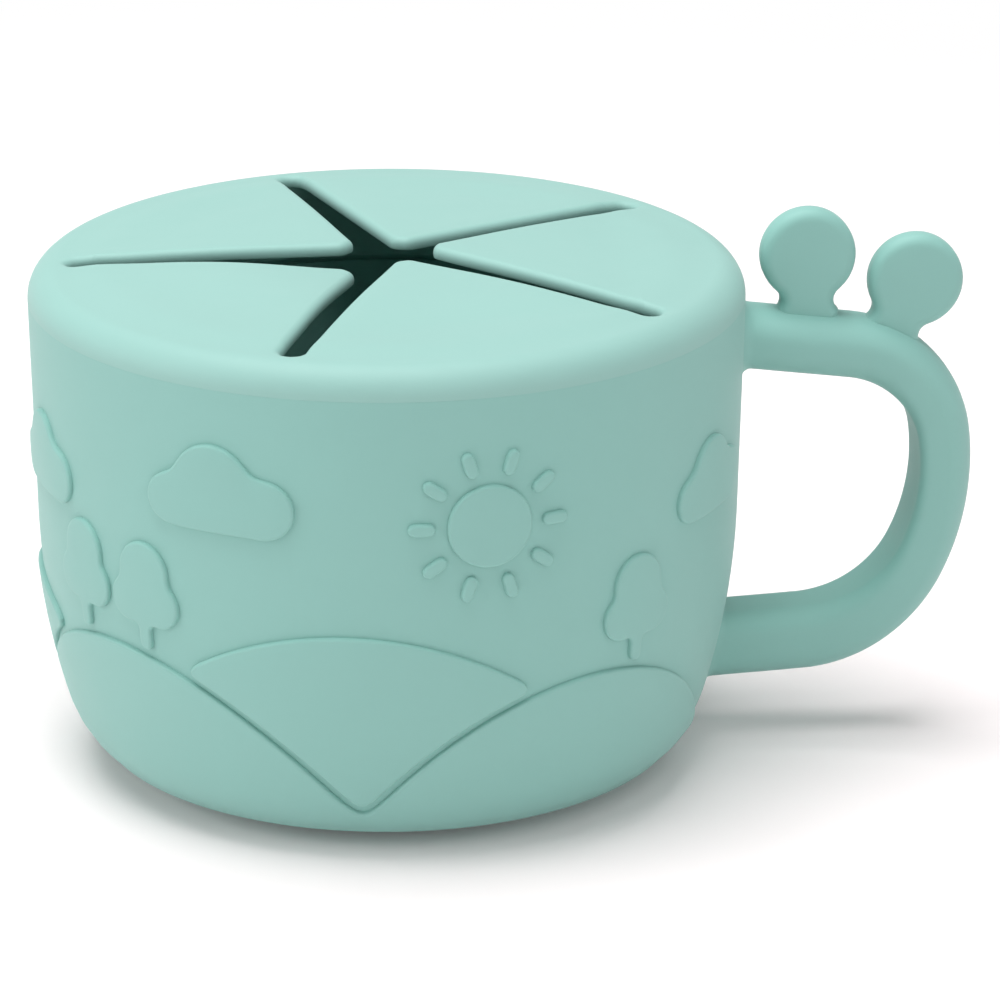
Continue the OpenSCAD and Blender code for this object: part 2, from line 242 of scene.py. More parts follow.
def round_corner(before, corner, after, radius, steps=6):
    """An arc in place of a corner, from the side that it comes from to the side that it goes on to."""
    before, corner, after = (np.asarray(p, float) for p in (before, corner, after))
    u = (before - corner) / np.linalg.norm(before - corner)
    v = (after - corner) / np.linalg.norm(after - corner)
    half = acos(np.clip(u @ v, -1, 1)) / 2
    centre = corner + (u + v) / np.linalg.norm(u + v) * radius / sin(half)
    first = corner + u * radius / tan(half) - centre
    last = corner + v * radius / tan(half) - centre
    start = atan2(first[1], first[0])
    sweep = (atan2(last[1], last[0]) - start + pi) % (2 * pi) - pi
    return polar(start + sweep * np.linspace(0, 1, steps + 1), radius, centre)


def rounded(corners):
    """An open line through (x, y, radius) corners, each one rounded to its radius. The ends' radius is 0."""
    points = []
    for i, (x, y, radius) in enumerate(corners):
        if radius:
            points.extend(round_corner(corners[i - 1][:2], (x, y), corners[i + 1][:2], radius))
        else:
            points.append((x, y))
    return np.array(points, float)


def divided(loop, step):
    """The same closed outline, with no side longer than step."""
    points = []
    for a, b in zip(loop, np.roll(loop, -1, axis=0)):
        count = max(1, int(np.ceil(np.linalg.norm(b - a) / step)))
        points.extend(a + (b - a) * i / count for i in range(count))
    return np.array(points)


def inward(loop, scale=1.0, kept=()):
    """How each point of a closed outline moves for 1 mm of inset, with the material on the outline's left.

    Scale turns the outline's own units into mm. Kept numbers the sides, by their first point, that stay on
    their line."""
    sides = (np.roll(loop, -1, axis=0) - loop) * scale
    sides /= np.linalg.norm(sides, axis=1)[:, None]
    normals = np.column_stack([-sides[:, 1], sides[:, 0]])
    amount = np.ones(len(loop))
    amount[list(kept)] = 0
    moves = [
        np.linalg.pinv(np.array([normals[i - 1], normals[i]]), rcond=1e-3) @ [amount[i - 1], amount[i]]
        for i in range(len(loop))
    ]
    return np.array(moves) / scale


# ---- Solids ----


class Solid:
    """Points, in mm, and faces of one closed piece, gathered before its mesh is made."""

    def __init__(self):
        self.points = []
        self.faces = []

    def ring(self, points):
        """Adds points, and returns their numbers."""
        start = len(self.points)
        self.points.extend(np.asarray(points, float).tolist())
        return list(range(start, len(self.points)))

    def wall(self, low, high):
        """Faces between two rings of as many points."""
        for i in range(len(low)):
            self.faces.append((low[i - 1], low[i], high[i], high[i - 1]))

    def walls(self, rings):
        """Faces between each ring and the next."""
        for low, high in zip(rings, rings[1:]):
            self.wall(low, high)

    def fan(self, ring, tip):
        """Closes a ring with triangles to one more point."""
        centre = self.ring([tip])[0]
        for i in range(len(ring)):
            self.faces.append((ring[i - 1], ring[i], centre))

    def cover(self, rings, flat, lift, spacing, upwards=True):
        """Closes rings with a surface that has points of its own, spaced evenly inside the flat outlines.

        Lift turns flat points into points of the surface. The first outline runs round the others, which are
        holes and run clockwise."""
        rim = np.vstack(flat)
        low, high = rim.min(0), rim.max(0)
        rows = np.arange(low[1], high[1], spacing * sqrt(3) / 2)
        x, y = np.meshgrid(np.arange(low[0], high[0], spacing), rows)
        x[1::2] += spacing / 2
        grid = np.column_stack([x.ravel(), y.ravel()])
        clear = [np.min(np.sum((rim - p) ** 2, axis=1)) > (0.75 * spacing) ** 2 for p in grid]
        inner = grid[clear]
        points = [Vector(p) for p in np.vstack([rim, inner])]
        starts = np.cumsum([0] + [len(loop) for loop in flat])
        areas = [list(range(a, b)) for a, b in zip(starts, starts[1:])]
        holes = [area[::-1] for area in areas[1:]]
        found = geometry.delaunay_2d_cdt(points, [], [areas[0], *holes], 0, SAME_POINT)
        numbers = [n for ring in rings for n in ring] + self.ring(lift(inner))
        for face, covers in zip(found[2], found[5]):
            if covers == [0]:
                corners = [numbers[found[3][v][0]] for v in face]
                self.faces.append(corners if upwards else corners[::-1])


def edge_steps(radius, steps=5):
    """Inset and drop from the top, in pairs, down to up, along an edge rounded to radius."""
    return [(radius * (1 - cos(a)), radius * (1 - sin(a))) for a in np.linspace(0, pi / 2, steps + 1)]


def turned(profile, closed=False):
    """A solid of revolution. The profile runs anticlockwise in the (radius, height) plane, from axis to axis
    unless it is closed."""
    solid = Solid()
    turns = np.linspace(0, 2 * pi, TURN_STEPS, endpoint=False)
    on_axis = [] if closed else [profile[0], profile[-1]]
    rings = [
        solid.ring(np.column_stack([r * np.cos(turns), r * np.sin(turns), np.full(TURN_STEPS, z)]))
        for r, z in (profile if closed else profile[1:-1])
    ]
    solid.walls(rings + rings[:1] if closed else rings)
    if on_axis:
        solid.fan(rings[0][::-1], (0, 0, on_axis[0][1]))
        solid.fan(rings[-1], (0, 0, on_axis[1][1]))
    return solid


# ---- The cup's wall ----


def wall_at(z):
    """Radius of the cup's outside at height z, and the two parts of its outward normal there."""
    z = np.asarray(z, float)
    foot = (z - FOOT_R) / FOOT_R
    belly = (z - BELLY_Z) / BELLY_R
    nz = np.where(z < FOOT_TOP_Z, foot, np.where(z < BELLY_TOP_Z, belly, -cos(WALL_TURN)))
    nr = np.sqrt(1 - nz**2)
    upper_r = RIM_R - (SEAM_Z - z) / tan(WALL_TURN)
    r = np.where(
        z < FOOT_TOP_Z,
        FOOT_FLAT_R + FOOT_R * nr,
        np.where(z < BELLY_TOP_Z, BELLY_X + BELLY_R * nr, upper_r),
    )
    return r, nr, nz


def outer_line(out, steps=20):
    """The cup's outer line moved outwards, from its flat foot up to the seam."""
    foot = np.linspace(0, FOOT_TURN, steps + 1)
    belly = np.linspace(FOOT_TURN, WALL_TURN, 2 * steps)[1:]
    foot_r, belly_r = FOOT_R + out, BELLY_R + out
    return np.vstack([
        np.column_stack([FOOT_FLAT_R + foot_r * np.sin(foot), FOOT_R - foot_r * np.cos(foot)]),
        np.column_stack([BELLY_X + belly_r * np.sin(belly), BELLY_Z - belly_r * np.cos(belly)]),
        [[RIM_R + out / sin(WALL_TURN), SEAM_Z]],
    ])


def cup_body():
    """The cup's shell, with a seat for the lid's plug in its mouth."""
    ledge_z = SEAM_Z - PLUG_H - SEAT_SPARE
    inner = outer_line(-WALL_T)
    inner = inner[inner[:, 1] < ledge_z][::-1]
    mouth = rounded([
        (*outer_line(0)[-2], 0),
        (RIM_R, SEAM_Z, SEAM_EDGE_R),
        (SEAT_R, SEAM_Z, MOUTH_EDGE_R),
        (SEAT_R, ledge_z, LEDGE_R),
        (RIM_R - WALL_T, ledge_z, LEDGE_EDGE_R),
        (*inner[0], 0),
    ])
    return turned(np.vstack([[0, 0], outer_line(0)[:-2], mouth, inner[1:], [0, WALL_T]]))


# ---- Handle ----


def heading(t):
    """Direction along the handle, and the one out of its loop, where it runs t below level."""
    return np.array([cos(t), -sin(t)]), np.array([sin(t), cos(t)])


def handle_bends():
    """Centres and radii of the upper, outer and lower bends, which run on into each other."""
    run = HANDLE_REACH - RIM_R
    low_fall = pi - LOW_END
    upper_run = run - UPPER_BEND_R * (sin(OUTER_START) - sin(TOP_FALL))
    lower_run = run - LOWER_BEND_R * (sin(OUTER_END) - sin(LOW_END))
    drop = (
        HANDLE_TOP_Z - HANDLE_LOW_Z - upper_run * tan(TOP_FALL) - lower_run * tan(low_fall)
        - UPPER_BEND_R * (cos(TOP_FALL) - cos(OUTER_START))
        - LOWER_BEND_R * (cos(OUTER_END) - cos(LOW_END))
    )
    outer_r = drop / (
        cos(OUTER_START) - cos(OUTER_END)
        - (1 - sin(OUTER_START)) * tan(TOP_FALL) - (1 - sin(OUTER_END)) * tan(low_fall)
    )
    outer_c = np.array([
        HANDLE_REACH - outer_r,
        HANDLE_TOP_Z - (upper_run - outer_r * (1 - sin(OUTER_START))) * tan(TOP_FALL)
        - UPPER_BEND_R * (cos(TOP_FALL) - cos(OUTER_START)) - outer_r * cos(OUTER_START),
    ])
    upper_c = outer_c + (outer_r - UPPER_BEND_R) * heading(OUTER_START)[1]
    lower_c = outer_c + (outer_r - LOWER_BEND_R) * heading(OUTER_END)[1]
    return (upper_c, UPPER_BEND_R), (outer_c, outer_r), (lower_c, LOWER_BEND_R)


def bar_section(t):
    """Offsets (out of the loop, across) round the bar where it runs t below level, and outward normals."""
    steep = sin(t) ** 2
    level_t = TOP_BAR_T if t < pi / 2 else LOW_BAR_T
    half = np.array([level_t + (OUTER_BAR_T - level_t) * steep, BAR_W]) / 2
    inner_edge = np.full(2, INNER_EDGE_R + (OUTER_INNER_EDGE_R - INNER_EDGE_R) * steep)
    offsets, normals = [], []
    for i, side in enumerate([(1, 1), (-1, 1), (-1, -1), (1, -1)]):
        edge = BAR_EDGE if side[0] > 0 else inner_edge
        corner = polar((i + np.linspace(0, 1, 9)) * pi / 2)
        offsets.append(side * (half - edge) + edge * corner)
        normals.append(corner / edge / np.linalg.norm(corner / edge, axis=1)[:, None])
    return np.vstack(offsets), np.vstack(normals)


def bar_ring(centre, t, offsets):
    """Points in space for offsets from the bar's middle line, at a centre given as (x, z)."""
    out = heading(t)[1]
    outwards, across = offsets[:, 0], offsets[:, 1]
    return np.column_stack([centre[0] + out[0] * outwards, across, centre[1] + out[1] * outwards])


def root_rings(start, t, away):
    """Rings from inside the cup's wall, over a fillet, to the plain section at start.

    Away is 1 where the handle's direction t leads away from the cup, and -1 where it leads to it."""
    along = away * np.array([heading(t)[0][0], 0, heading(t)[0][1]])
    offsets, normals = bar_section(t)
    fillet = [ROOT_FILLET_R * (1 - cos(a)) for a in np.linspace(0, pi / 2, 7)]
    rings = []
    for clear in [-ROOT_SUNK, *fillet, *ROOT_STEPS]:
        flare = ROOT_FILLET_R - sqrt(max(0, ROOT_FILLET_R**2 - max(0, ROOT_FILLET_R - max(0, clear)) ** 2))
        ring = bar_ring(start, t, offsets + flare * normals)
        reach = np.zeros(len(ring))
        # Each pass brings every point closer to where it meets the wall.
        for _ in range(8):
            met = ring - along * reach[:, None]
            gap = np.hypot(met[:, 0], met[:, 1]) - wall_at(met[:, 2])[0]
            reach += gap
        share = np.clip(clear / np.mean(reach), 0, 1)
        plain = ring - along * (np.mean(reach) - clear)
        rings.append((1 - share) * (met + along * clear) + share * plain)
    return rings


def handle_grip():
    """The handle: straight bars flared into the wall, with three bends between them."""
    upper, outer, lower = handle_bends()
    bends = [(upper, TOP_FALL, OUTER_START), (outer, OUTER_START, OUTER_END), (lower, OUTER_END, LOW_END)]
    rings = root_rings(upper[0] + upper[1] * heading(TOP_FALL)[1], TOP_FALL, 1)
    for (centre, radius), first, last in bends:
        steps = int(np.ceil((last - first) * radius / BEND_STEP))
        for t in np.linspace(first, last, steps, endpoint=False):
            rings.append(bar_ring(centre + radius * heading(t)[1], t, bar_section(t)[0]))
    rings += root_rings(lower[0] + lower[1] * heading(LOW_END)[1], LOW_END, -1)[::-1]
    solid = Solid()
    numbers = [solid.ring(ring) for ring in rings]
    solid.walls(numbers[::-1])
    solid.fan(numbers[0], np.mean(rings[0], axis=0))
    solid.fan(numbers[-1][::-1], np.mean(rings[-1], axis=0))
    return solid


def knob_outline(drop):
    """A disc on a waisted neck. The disc's centre is the origin, and the neck ends at -drop."""
    disc_r = KNOB_D / 2
    waist_x = NECK_W / 2 + NECK_FILLET_R
    waist_z = -sqrt((disc_r + NECK_FILLET_R) ** 2 - waist_x**2)
    meet = atan2(waist_z, waist_x)
    disc = polar(np.linspace(meet, pi - meet, 56), disc_r)
    left = polar(np.linspace(-meet, -NECK_FLARE, 14), NECK_FILLET_R, (-waist_x, waist_z))
    right = (left * [-1, 1])[::-1]
    foot = [(left[-1][0], -drop), (0, -drop), (right[0][0], -drop)]
    return np.vstack([disc, left[1:], foot, right[:-1]])


def knob(centre, tilt, rise):
    """A flat, round knob standing on the bar, with rounded edges on both its faces."""
    outline = knob_outline(rise + TOP_BAR_T / 2)
    moves = inward(outline)

    def place(flat, y):
        flat = np.asarray(flat, float)
        x = centre[0] + flat[:, 0] * cos(tilt) + flat[:, 1] * sin(tilt)
        z = centre[1] - flat[:, 0] * sin(tilt) + flat[:, 1] * cos(tilt)
        return np.column_stack([x, np.full(len(flat), y), z])

    solid = Solid()
    edge = edge_steps(KNOB_EDGE_R, 7)
    flats = [outline + moves * inset for inset, _ in edge]
    back = [solid.ring(place(flat, KNOB_T / 2 - drop)) for flat, (_, drop) in zip(flats[::-1], edge[::-1])]
    front = [solid.ring(place(flat, drop - KNOB_T / 2)) for flat, (_, drop) in zip(flats, edge)]
    solid.walls(back + front)
    solid.cover([back[0]], [flats[-1]], lambda p: place(p, KNOB_T / 2), spacing=1.5, upwards=False)
    solid.cover([front[-1]], [flats[-1]], lambda p: place(p, -KNOB_T / 2), spacing=1.5)
    return solid


def knob_places():
    """Centre and tilt of the inner and the outer knob."""
    (centre, radius), _, _ = handle_bends()
    outer = centre + (radius + TOP_BAR_T / 2 + OUTER_KNOB_RISE) * heading(OUTER_KNOB_TILT)[1]
    start = centre + radius * heading(TOP_FALL)[1]
    inner_x = outer[0] - KNOB_D - KNOB_GAP
    bar_top_z = start[1] + (start[0] - inner_x) * tan(TOP_FALL) + TOP_BAR_T / 2 / cos(TOP_FALL)
    return ((inner_x, bar_top_z + INNER_KNOB_RISE), 0), (tuple(outer), OUTER_KNOB_TILT)


# ---- Raised picture, laid out on a flat chart of the wall: distance round the rim, and height ----


def on_chart(outline, turn):
    """An outline pressed onto the wall along its direction: X runs round the cup, and Y is the height."""
    outline = divided(np.asarray(outline, float), 1.0)
    outline[:, 1] = np.maximum(outline[:, 1], RELIEF_LOW_Z)
    aside = np.arcsin(np.clip(outline[:, 0] / wall_at(outline[:, 1])[0], -1, 1))
    return np.column_stack([(turn % (2 * pi) + aside) * RIM_R, outline[:, 1]])


def lifted(chart, out):
    """Points at a distance out of the wall, over points of the chart."""
    r, nr, nz = wall_at(chart[:, 1])
    turn = chart[:, 0] / RIM_R
    r = r + out * nr
    return np.column_stack([r * np.cos(turn), r * np.sin(turn), chart[:, 1] + out * nz])


def chart_scale(chart):
    """Real mm for 1 mm of the chart, along it and up it."""
    r, nr, _ = wall_at(chart[:, 1])
    return np.column_stack([r / RIM_R, 1 / nr])


def outlines(wanted, cutters=()):
    """Outlines of what the wanted shapes cover and the cutters don't, with the material on their left."""
    shapes = [*wanted, *cutters]
    starts = np.cumsum([0] + [len(shape) for shape in shapes])
    faces = [list(range(a, b)) for a, b in zip(starts, starts[1:])]
    found = geometry.delaunay_2d_cdt([Vector(p) for p in np.vstack(shapes)], [], faces, 0, SAME_POINT)
    sides = set()
    for triangle, covers in zip(found[2], found[5]):
        if covers and max(covers) < len(wanted):
            sides.update(zip(triangle, triangle[1:] + triangle[:1]))
    follow = {a: b for a, b in sides if (b, a) not in sides}
    loops = []
    while follow:
        first = min(follow)
        loop = [first]
        while follow[loop[-1]] != first:
            loop.append(follow.pop(loop[-1]))
        follow.pop(loop[-1])
        loops.append(np.array([found[0][v] for v in loop]))
    return loops


def evenly(chart, spacing):
    """The same closed outline with evenly spaced points."""
    ends = np.vstack([chart, chart[:1]])
    walked = np.concatenate([[0], np.cumsum(np.linalg.norm(np.diff(lifted(ends, 0), axis=0), axis=1))])
    wanted = np.linspace(0, walked[-1], int(walked[-1] / spacing), endpoint=False)
    return np.column_stack([np.interp(wanted, walked, ends[:, i]) for i in range(2)])


def smoothed(chart, softness):
    """A closed outline with its corners rounded off, over about this length."""
    closest, widest, passes = 0.22, 0.5, 3
    spacing = min(widest, max(closest, softness / 2.5))
    for _ in range(max(1, round((softness / spacing) ** 2 * 2 / passes))):
        chart = evenly(np.roll(chart, len(chart) // 3, axis=0), spacing)
        for _ in range(passes):
            chart = (np.roll(chart, 1, axis=0) + 2 * chart + np.roll(chart, -1, axis=0)) / 4
    return evenly(chart, spacing)


def raised(loops, softness):
    """Pads on the wall inside these outlines, with rounded edges and a foot sunk into the wall."""
    solid = Solid()
    for loop in loops:
        loop = smoothed(loop, softness)
        moves = inward(loop, chart_scale(loop))
        rings = [solid.ring(lifted(loop, -RELIEF_SUNK))]
        for inset, drop in edge_steps(RELIEF_EDGE_R, 4):
            edge = loop + moves * inset
            rings.append(solid.ring(lifted(edge, RELIEF_H - drop)))
        solid.walls(rings)
        solid.cover([rings[0]], [loop], lambda p: lifted(p, -RELIEF_SUNK), spacing=2.2, upwards=False)
        solid.cover([rings[-1]], [edge], lambda p: lifted(p, RELIEF_H), spacing=2.2)
    return solid


def hill(place, grow=0):
    """The part of a hill's circle above the picture's lower end, on the chart."""
    turn, radius, top = place
    centre_z = top - radius
    low = asin((RELIEF_LOW_Z - centre_z) / (radius + grow))
    return on_chart(polar(np.linspace(low, pi - low, 90), radius + grow, (0, centre_z)), turn)


def raised_hills():
    """Hills in front, and hills behind them that stop short of them."""
    front = [hill(place) for place in FRONT_HILLS]
    back = [hill(place) for place in BACK_HILLS]
    cutters = [hill(place, RELIEF_GAP) for place in FRONT_HILLS]
    return raised(outlines(front) + outlines(back, cutters), softness=1.1)


def raised_suns():
    """Discs with loose rays round them."""
    ray_r = SUN_R * RAY_W / 2
    ray = np.vstack([
        polar(np.linspace(pi / 2, 3 * pi / 2, 10), ray_r, (SUN_R * RAY_START, 0)),
        polar(np.linspace(-pi / 2, pi / 2, 10), ray_r, (SUN_R * RAY_END, 0)),
    ])
    loops = []
    for turn in SUNS:
        shapes = [circle(SUN_R)]
        for i in range(SUN_RAYS):
            a = i * 2 * pi / SUN_RAYS
            shapes.append(ray @ [[cos(a), sin(a)], [-sin(a), cos(a)]])
        loops += outlines([on_chart(shape + [0, SUN_Z], turn) for shape in shapes])
    return raised(loops, softness=0.3)


def raised_clouds():
    """Clouds of three puffs on a flat base."""
    loops = []
    for degrees, drop, size in CLOUDS:
        r = CLOUD_R * size
        z = SEAM_Z - CLOUD_DROP * drop
        shapes = [circle(puff_r * r, (x * r, z + up * r)) for x, up, puff_r in PUFFS]
        shapes.append(CLOUD_BASE * r + [0, z])
        loops += outlines([on_chart(shape, radians(degrees)) for shape in shapes])
    return raised(loops, softness=1.1)


def raised_trees():
    """Trees that stand on the front hills, with a narrow gap at their feet."""
    hills = [hill(place, RELIEF_GAP) for place in FRONT_HILLS + BACK_HILLS]
    loops = []
    for number, degrees in TREES:
        turn, radius, top = FRONT_HILLS[number]
        z = top - radius + sqrt(radius**2 - (RIM_R * sin(radians(degrees))) ** 2)
        shapes = [TRUNK] + [circle(leaf_r, (x, up)) for x, up, leaf_r in LEAVES]
        placed = [on_chart(shape * TREE_H + [0, z], turn + radians(degrees)) for shape in shapes]
        loops += outlines(placed, hills)
    return raised(loops, softness=0.6)


# ---- Lid ----


def crown_drop(flat):
    """How far the lid's slightly crowned top lies below its flat middle, at points of its plan."""
    share = np.clip((RIM_R - LID_EDGE_R - np.hypot(flat[:, 0], flat[:, 1])) / CROWN_SLOPE, 0, 1)
    return CROWN_H * (1 - share**2 * (3 - 2 * share))


def flap_half(x, slit_w):
    """Half the width of a flap at x along it, between slits as wide as this."""
    return x * tan(HALF_ANGLE) - slit_w / 2 / cos(HALF_ANGLE)


def chord_points():
    """Points across the chord, from its right end to its left one, seen from the lid's axis."""
    half = flap_half(CHORD_X, SLIT_W)
    return [(CHORD_X, y) for y in np.linspace(-half, half, 17)]


def flap_outline():
    """Outline of a flap, from its chord towards the lid's axis, and how many points are on the chord."""
    chord = chord_points()
    root, corner = np.array(chord[-1]), np.array([TIP_REACH, flap_half(TIP_REACH, SLIT_INNER_W)])
    tip = round_corner(root, corner, corner * [1, -1], TIP_R, 10)
    side = [root + (tip[0] - root) * share for share in np.linspace(0, 1, 26)[1:-1]]
    upper = np.vstack([side, tip])
    return np.vstack([chord, upper, (upper * [1, -1])[::-1]]), len(chord)


def slit_levels():
    """Inset and height of each ring up the edge of a slit, from the underside to the top."""
    low = TOTAL_H - FLAP_T
    under = [(inset, low + drop) for inset, drop in edge_steps(SLIT_UNDER_R, 2)[::-1]]
    over = [(inset, TOTAL_H - drop) for inset, drop in edge_steps(SLIT_EDGE_R, 6)]
    return under + over


def spun(points, turn):
    """Flat points turned around the lid's axis."""
    points = np.asarray(points, float)
    return points @ [[cos(turn), sin(turn)], [-sin(turn), cos(turn)]]


def flap_turn(body):
    """Direction from the lid's axis to the middle of a flap's hinge."""
    x, y, _ = joints[body]["pos_m"]
    return atan2(y, x)


def flap(body, rise, bow):
    """A flap that lies a little up or down at rest, with its bend next to the chord and a slight arch."""
    tilt = asin(rise / (HINGE_X - TIP_REACH))

    def place(flat, z):
        flat = np.asarray(flat, float)
        share = np.clip((CHORD_X - flat[:, 0]) / BEND_LENGTH, 0, 1)
        angle = tilt * share**2 * (3 - 2 * share)
        along = np.clip((CHORD_X - flat[:, 0]) / (CHORD_X - TIP_REACH), 0, 1)
        arch = bow * (4 * along * (1 - along)) ** 2
        x, up = HINGE_X - flat[:, 0], z - HINGE_Z + arch - crown_drop(flat)
        height = HINGE_Z + x * np.sin(angle) + up * np.cos(angle)
        flat = np.column_stack([HINGE_X - x * np.cos(angle) + up * np.sin(angle), flat[:, 1]])
        return np.column_stack([spun(flat, flap_turn(body)), height])

    outline, on_chord = flap_outline()
    moves = inward(outline, kept=range(on_chord - 1))
    solid = Solid()
    flats = [outline + moves * inset for inset, _ in slit_levels()]
    rings = [solid.ring(place(flat, z)) for flat, (_, z) in zip(flats, slit_levels())]
    solid.walls(rings)
    low_z = TOTAL_H - FLAP_T
    solid.cover([rings[0]], [flats[0]], lambda p: place(p, low_z), spacing=1.6, upwards=False)
    solid.cover([rings[-1]], [flats[-1]], lambda p: place(p, TOTAL_H), spacing=1.6)
    return solid


def lid_top():
    """The lid's rim and its crown, around the hole that the flaps and the slits leave."""
    low_z = TOTAL_H - FLAP_T

    def place(flat, z):
        return np.column_stack([flat, z - crown_drop(flat)])

    chord = chord_points()
    slit_end = polar(np.linspace(-pi / 2, pi / 2, 17), SLIT_W / 2, (SLIT_END_X, 0))
    repeated = np.vstack([chord, spun(slit_end, HALF_ANGLE)])
    hole = np.vstack([spun(repeated, flap_turn(body)) for body in FLAPS])[::-1]
    part = len(repeated)
    on_chords = [i * part + j + 1 for i in range(len(FLAPS)) for j in range(len(chord) - 1)]
    moves = inward(hole, kept=[len(hole) - 1 - side for side in on_chords])
    solid = Solid()
    flats = [hole + moves * inset for inset, _ in slit_levels()]
    inner = [solid.ring(place(flat, z)) for flat, (_, z) in zip(flats, slit_levels())]
    solid.walls(inner)

    turns = np.linspace(0, 2 * pi, TURN_STEPS, endpoint=False)
    bore, edge = polar(turns, PLUG_BORE_R), polar(turns, RIM_R - LID_EDGE_R)
    rim = polar(np.linspace(0, pi / 2, 13), LID_EDGE_R, (RIM_R - LID_EDGE_R, SEAM_Z))
    outer = [solid.ring(place(bore, low_z))]
    for r, z in [(PLUG_BORE_R, SEAM_Z), *rim]:
        outer.append(solid.ring([(r * cos(t), r * sin(t), z) for t in turns]))
    solid.walls(outer)
    low, high = [outer[0], inner[0]], [outer[-1], inner[-1]]
    solid.cover(low, [bore, flats[0]], lambda p: place(p, low_z), spacing=2, upwards=False)
    solid.cover(high, [edge, flats[-1]], lambda p: place(p, TOTAL_H), spacing=1.5)
    return solid


def lid_plug_wall():
    """The plug: a ring with sealing beads outside, a rounded lower edge and its top sunk into the lid."""
    low = SEAM_Z - PLUG_H
    corners = [
        (PLUG_BORE_R, SEAM_Z, 0),
        (PLUG_BORE_R, low, PLUG_EDGE_R),
        (PLUG_R, low, PLUG_EDGE_R),
        (PLUG_R, SEAM_Z, 0),
    ]
    points = list(rounded(corners)[1:-1])
    half = acos((BEAD_R - BEAD_H) / BEAD_R)
    for i in range(BEAD_COUNT, 0, -1):
        centre = (PLUG_R + BEAD_H - BEAD_R, SEAM_Z - PLUG_H * i / (BEAD_COUNT + 1))
        points.extend(polar(np.linspace(-half, half, 9), BEAD_R, centre))
    points.extend([(PLUG_R, SEAM_Z + PLUG_SUNK), (PLUG_BORE_R, SEAM_Z + PLUG_SUNK)])
    return turned(np.array(points), closed=True)


# ---- Material ----


def silicone(name, colour, seed):
    """Matt moulded silicone: a soft grain, faint clouding in its colour and a little sheen."""
    material = bpy.data.materials.new(name)
    material.use_nodes = True
    nodes, links = material.node_tree.nodes, material.node_tree.links
    shader = nodes["Principled BSDF"]
    shader.inputs["IOR"].default_value = 1.43
    shader.inputs["Sheen Weight"].default_value = 0.08
    shader.inputs["Sheen Roughness"].default_value = 0.5
    place = nodes.new("ShaderNodeTexCoord")

    def noise(size_mm, detail):
        texture = nodes.new("ShaderNodeTexNoise")
        texture.noise_dimensions = "4D"
        texture.inputs["W"].default_value = seed
        texture.inputs["Scale"].default_value = 1 / (size_mm * MM)
        texture.inputs["Detail"].default_value = detail
        links.new(place.outputs["Object"], texture.inputs["Vector"])
        return texture.outputs["Fac"]

    def mapped(value, low, high):
        span = nodes.new("ShaderNodeMapRange")
        span.inputs["To Min"].default_value = low
        span.inputs["To Max"].default_value = high
        links.new(value, span.inputs["Value"])
        return span.outputs["Result"]

    tint = nodes.new("ShaderNodeHueSaturation")
    tint.inputs["Color"].default_value = (*colour, 1)
    links.new(mapped(noise(size_mm=28, detail=2), 0.97, 1.03), tint.inputs["Value"])
    links.new(tint.outputs["Color"], shader.inputs["Base Color"])
    links.new(mapped(noise(size_mm=6, detail=3), 0.5, 0.64), shader.inputs["Roughness"])
    grain = nodes.new("ShaderNodeBump")
    grain.inputs["Strength"].default_value = 0.12
    grain.inputs["Distance"].default_value = 0.05 * MM
    links.new(noise(size_mm=0.45, detail=3), grain.inputs["Height"])
    links.new(grain.outputs["Normal"], shader.inputs["Normal"])
    return material


def show_white(tree, surface, strength, output):
    """Shows white in place of a surface to the camera, and in gloss and clear reflections.

    Strength is the share of white: a number, or the socket of a node that gives one."""
    nodes, links = tree.nodes, tree.links
    path = nodes.new("ShaderNodeLightPath")
    total = path.outputs["Is Camera Ray"]
    for ray in ("Is Glossy Ray", "Is Transmission Ray"):
        add = nodes.new("ShaderNodeMath")
        add.operation = "MAXIMUM"
        links.new(total, add.inputs[0])
        links.new(path.outputs[ray], add.inputs[1])
        total = add.outputs[0]
    share = nodes.new("ShaderNodeMath")
    share.operation = "MULTIPLY"
    if isinstance(strength, bpy.types.NodeSocket):
        links.new(strength, share.inputs[1])
    else:
        share.inputs[1].default_value = strength
    links.new(total, share.inputs[0])
    white = nodes.new("ShaderNodeBackground" if surface.type == "BACKGROUND" else "ShaderNodeEmission")
    mix = nodes.new("ShaderNodeMixShader")
    links.new(share.outputs[0], mix.inputs["Fac"])
    links.new(surface.outputs[0], mix.inputs[1])
    links.new(white.outputs[0], mix.inputs[2])
    links.new(mix.outputs[0], output.inputs["Surface"])


# ---- Pieces ----


def piece(name, solid, material, nodes):
    """Makes a solid's mesh, which stands for these CAD nodes."""
    mesh = bpy.data.meshes.new(name)
    mesh.from_pydata((np.array(solid.points) * MM).tolist(), [], solid.faces)
    mesh.shade_smooth()
    mesh.set_sharp_from_angle(angle=SHARP_ANGLE)
    mesh.materials.append(material)
    obj = bpy.data.objects.new(name, mesh)
    bpy.context.scene.collection.objects.link(obj)
    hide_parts(*nodes)
    return obj


def build_cup(material):
    inner_knob, outer_knob = knob_places()
    parts = {
        "cup_body": (cup_body(), "cup_shell"),
        "handle_grip": (handle_grip(), "handle_loop"),
        "knob_inner": (knob(*inner_knob, INNER_KNOB_RISE), "handle_knob_inner"),
        "knob_outer": (knob(*outer_knob, OUTER_KNOB_RISE), "handle_knob_outer"),
        "raised_hills": (raised_hills(), "relief_hills"),
        "raised_suns": (raised_suns(), "relief_sun"),
        "raised_clouds": (raised_clouds(), "relief_clouds"),
        "raised_trees": (raised_trees(), "relief_trees"),
    }
    for name, (solid, node) in parts.items():
        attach(piece(name, solid, material, [node]), "cup")


